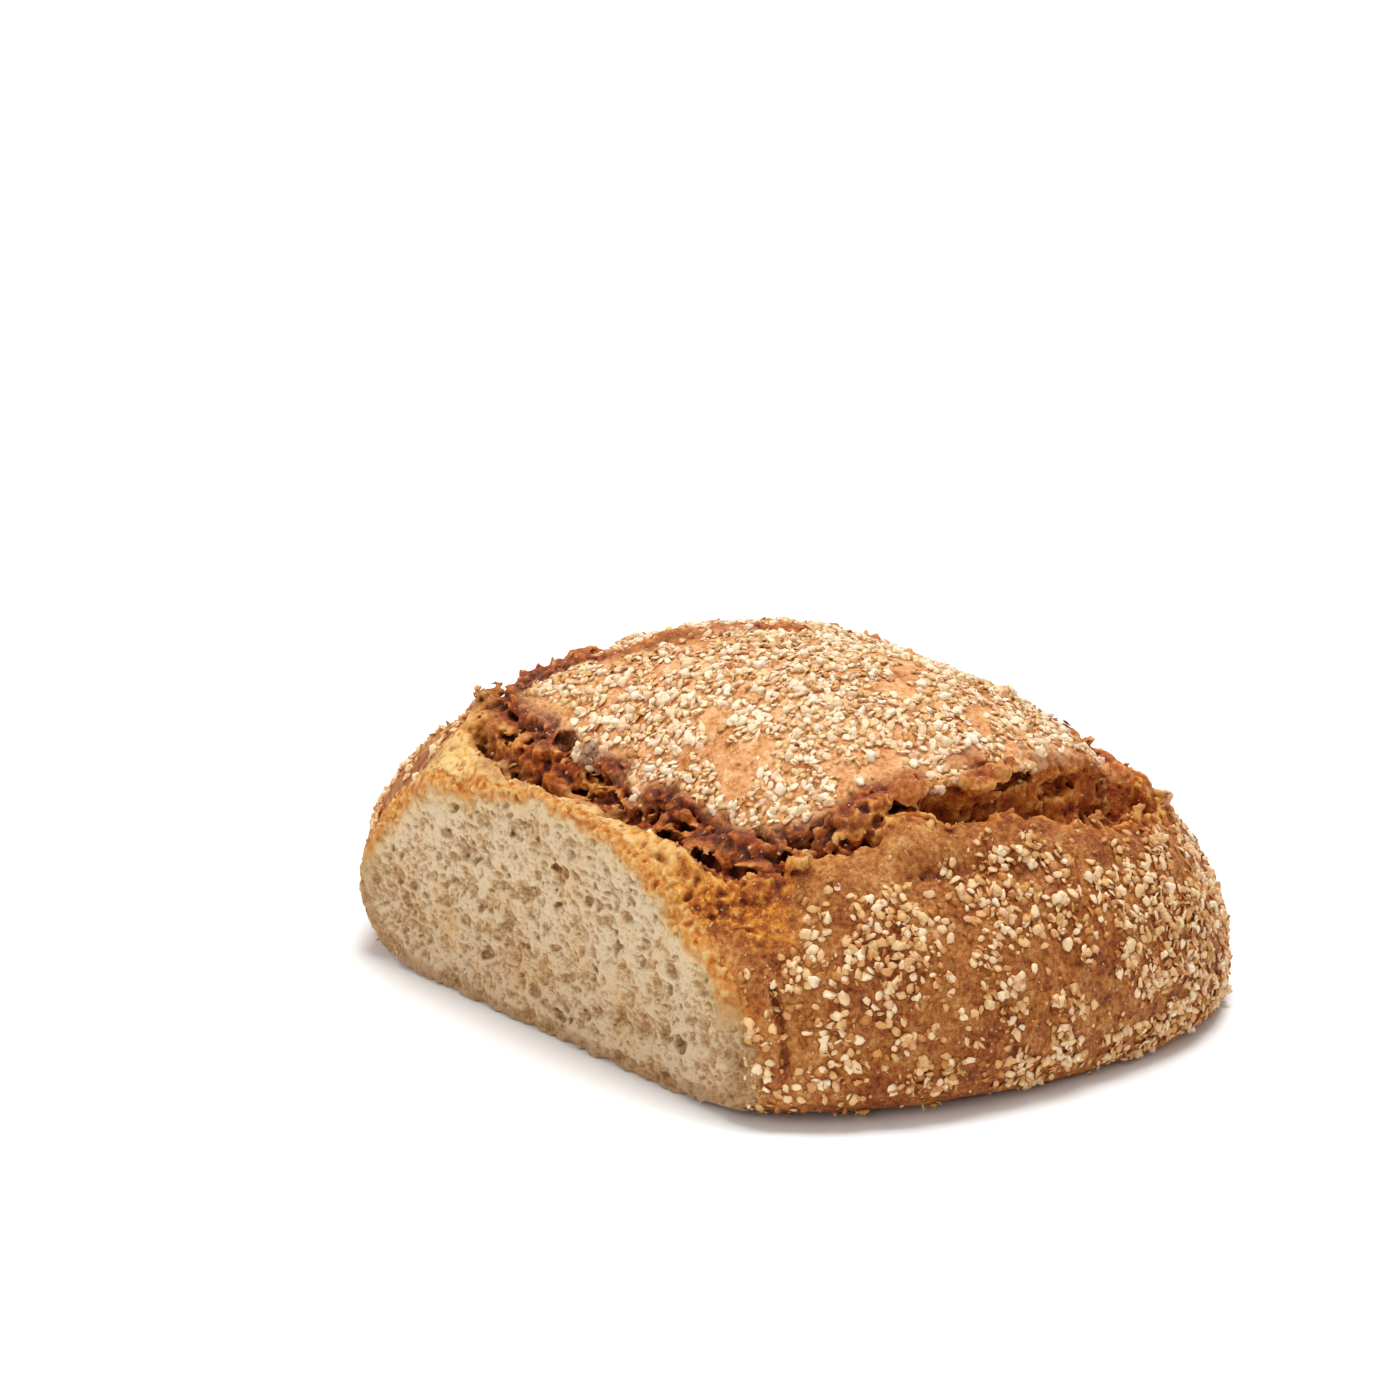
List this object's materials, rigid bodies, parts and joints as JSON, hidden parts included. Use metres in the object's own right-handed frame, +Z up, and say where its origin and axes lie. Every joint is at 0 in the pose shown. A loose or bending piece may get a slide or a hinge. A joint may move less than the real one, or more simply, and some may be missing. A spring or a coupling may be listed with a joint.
{
  "type": "sourdough boule",
  "caption": "Seeded sourdough boule with a raised square-scored lid and one end sliced off flat, showing the crumb.",
  "frame": {"origin": "on the surface that the loaf stands on, under the middle of its bounding box", "axes": "+Z up; -X is the outward normal of the flat cut face; +Y runs along the cut face, the loaf's longest side"},
  "size_m": [0.1945, 0.2449, 0.0943],
  "materials": {
    "crust": "baked golden-brown crust, satin to matt",
    "torn_crust": "torn, rough, orange to dark brown",
    "crumb": "soft porous crumb, matt",
    "grain_flakes": "dry toasted grain flakes, matt"
  },
  "bodies": {
    "root": {"loaf": "crust"}
  },
  "joints": []
}
